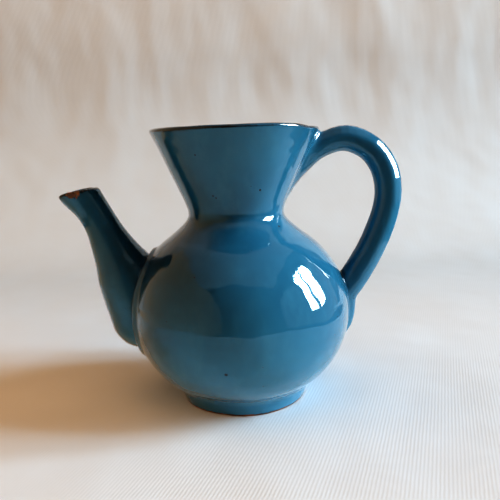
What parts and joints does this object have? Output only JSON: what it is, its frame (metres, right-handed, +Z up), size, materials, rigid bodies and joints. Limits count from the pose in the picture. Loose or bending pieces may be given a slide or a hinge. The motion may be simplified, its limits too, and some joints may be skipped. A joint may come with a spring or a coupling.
{
  "type": "pottery jug",
  "caption": "Round-bellied glazed earthenware jug with a flared neck, a tapering spout, an ear-shaped handle and a turned foot.",
  "frame": {"origin": "centre of the foot's standing face, on the axis that the jug was thrown about", "axes": "+Z up along the thrown axis, +X towards the handle, -X towards the spout"},
  "size_m": [0.1761, 0.1126, 0.14],
  "materials": {
    "glaze": "glossy blue glaze",
    "bare_clay": "matte unglazed terracotta"
  },
  "bodies": {
    "root": {"belly": "glaze", "neck": "glaze", "foot_ring": "bare_clay", "spout": "glaze", "handle": "glaze", "spout_joint": "glaze", "handle_upper_joint": "glaze", "handle_lower_joint": "glaze"}
  },
  "joints": []
}
